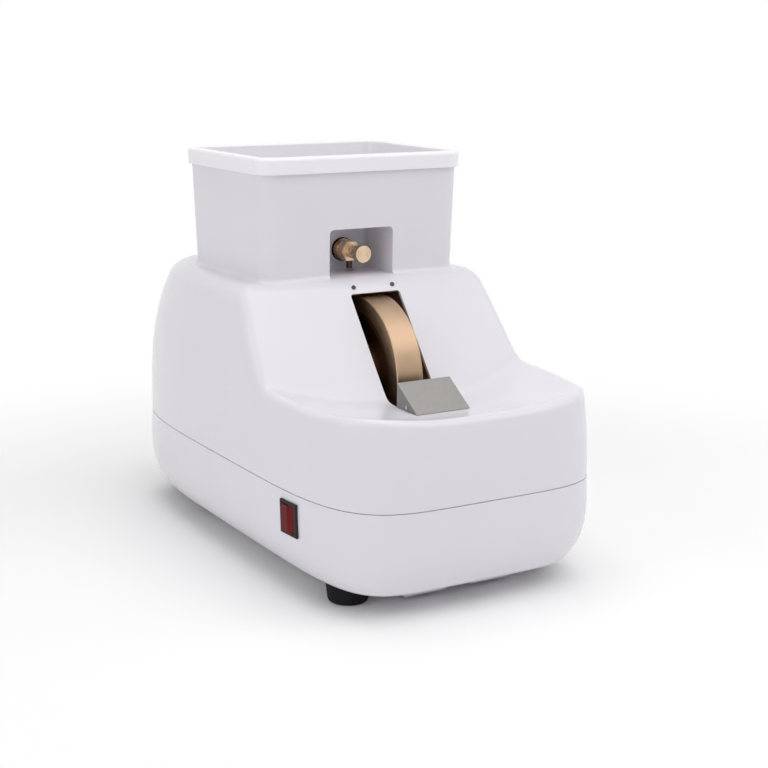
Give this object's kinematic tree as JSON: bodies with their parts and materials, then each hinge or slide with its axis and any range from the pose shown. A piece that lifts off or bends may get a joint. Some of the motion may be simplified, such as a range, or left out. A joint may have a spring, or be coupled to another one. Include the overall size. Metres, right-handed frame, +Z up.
{
  "type": "bench lens edger",
  "caption": "Bench lens edger with a grinding wheel in a splash chamber, a belt-driven spindle, a motor, a water tank with a drip tap and a rocker switch",
  "frame": {"origin": "on the table under the middle of the body", "axes": "X to the right as seen from the front, Y to the rear, Z up; the slot and the guard face -Y"},
  "size_m": [0.2971, 0.5322, 0.39],
  "materials": {
    "white_plastic": "glossy moulded",
    "tan_plastic": "moulded, wet and stained",
    "black_plastic": "moulded",
    "black_rubber": "matte",
    "red_lens": "clear red",
    "bronze_bond": "satin, sintered",
    "satin_sheet": "satin",
    "plated_sheet": "zinc plated",
    "bright_steel": "turned",
    "bright_brass": "turned",
    "copper_tube": "drawn",
    "cast_aluminium": "cast and turned",
    "painted_steel": "painted"
  },
  "bodies": {
    "machine": {"top_cover": "white_plastic", "base_shell": "white_plastic", "rubber_feet": "black_rubber", "foot_screws": "bright_steel", "foot_nuts": "bright_steel", "chassis_plate": "plated_sheet", "cover_screws": "bright_steel", "splash_chamber": "tan_plastic", "chamber_screws": "bright_steel", "panel_screws": "bright_steel", "shaft_seal": "black_rubber", "drain_spout": "black_plastic", "water_tank": "white_plastic", "tap_body": "bright_brass", "tap_washers": "black_rubber", "tap_locknut": "bright_brass", "tap_gland": "bright_brass", "tap_spout": "copper_tube", "wheel_guard": "satin_sheet", "guard_rivets": "bright_steel", "guard_screws": "bright_steel", "spindle_bearings": "bright_steel", "spindle_housing": "cast_aluminium", "bearing_caps": "cast_aluminium", "cap_screws": "bright_steel", "spindle_bracket": "painted_steel", "housing_bolts": "bright_steel", "frame_bolts": "bright_steel", "drive_belt": "black_rubber", "motor_shell": "painted_steel", "motor_left_bell": "cast_aluminium", "motor_right_bell": "cast_aluminium", "stator_core": "bright_steel", "stator_windings": "copper_tube", "motor_bearings": "bright_steel", "tie_rods": "bright_steel", "motor_clamps": "painted_steel", "switch_housing": "black_plastic", "switch_blades": "bright_brass", "power_inlet": "black_plastic", "inlet_pins": "bright_brass", "capacitor": "cast_aluminium", "capacitor_clip": "plated_sheet", "terminal_block": "black_plastic", "small_screws": "bright_steel"},
    "spindle": {"wheel_rim": "bronze_bond", "wheel_hub": "cast_aluminium", "outer_flange": "cast_aluminium", "inner_flange": "cast_aluminium", "wheel_nut": "bright_steel", "wheel_spindle": "bright_steel", "spindle_inner_rings": "bright_steel", "spindle_pulley": "cast_aluminium"},
    "rotor": {"rotor_core": "bright_steel", "motor_shaft": "bright_steel", "motor_inner_rings": "bright_steel", "motor_pulley": "cast_aluminium"},
    "tap": {"tap_knob": "bright_brass", "tap_spindle": "bright_steel"},
    "rocker": {"switch_rocker": "red_lens"}
  },
  "joints": [
    {"name": "spindle_spin", "type": "hinge", "parent": "machine", "child": "spindle", "pos_m": [0, -0.049, 0.179], "axis": [1, 0, 0], "continuous": true},
    {"name": "rotor_spin", "type": "hinge", "parent": "machine", "child": "rotor", "pos_m": [0, 0.126, 0.1], "axis": [1, 0, 0], "continuous": true},
    {"name": "tap_turn", "type": "hinge", "parent": "machine", "child": "tap", "pos_m": [0.007, -0.0171, 0.2906], "axis": [0, -1, 0], "range_deg": [0, 360]},
    {"name": "rocker_tip", "type": "hinge", "parent": "machine", "child": "rocker", "pos_m": [-0.14362, -0.1559, 0.07904], "axis": [0.0245, 0.0007, -0.9997], "range_deg": [0, 16]}
  ],
  "couplings": [
    {"joint": "spindle_spin", "follows": "rotor_spin", "ratio": 1.3333}
  ]
}
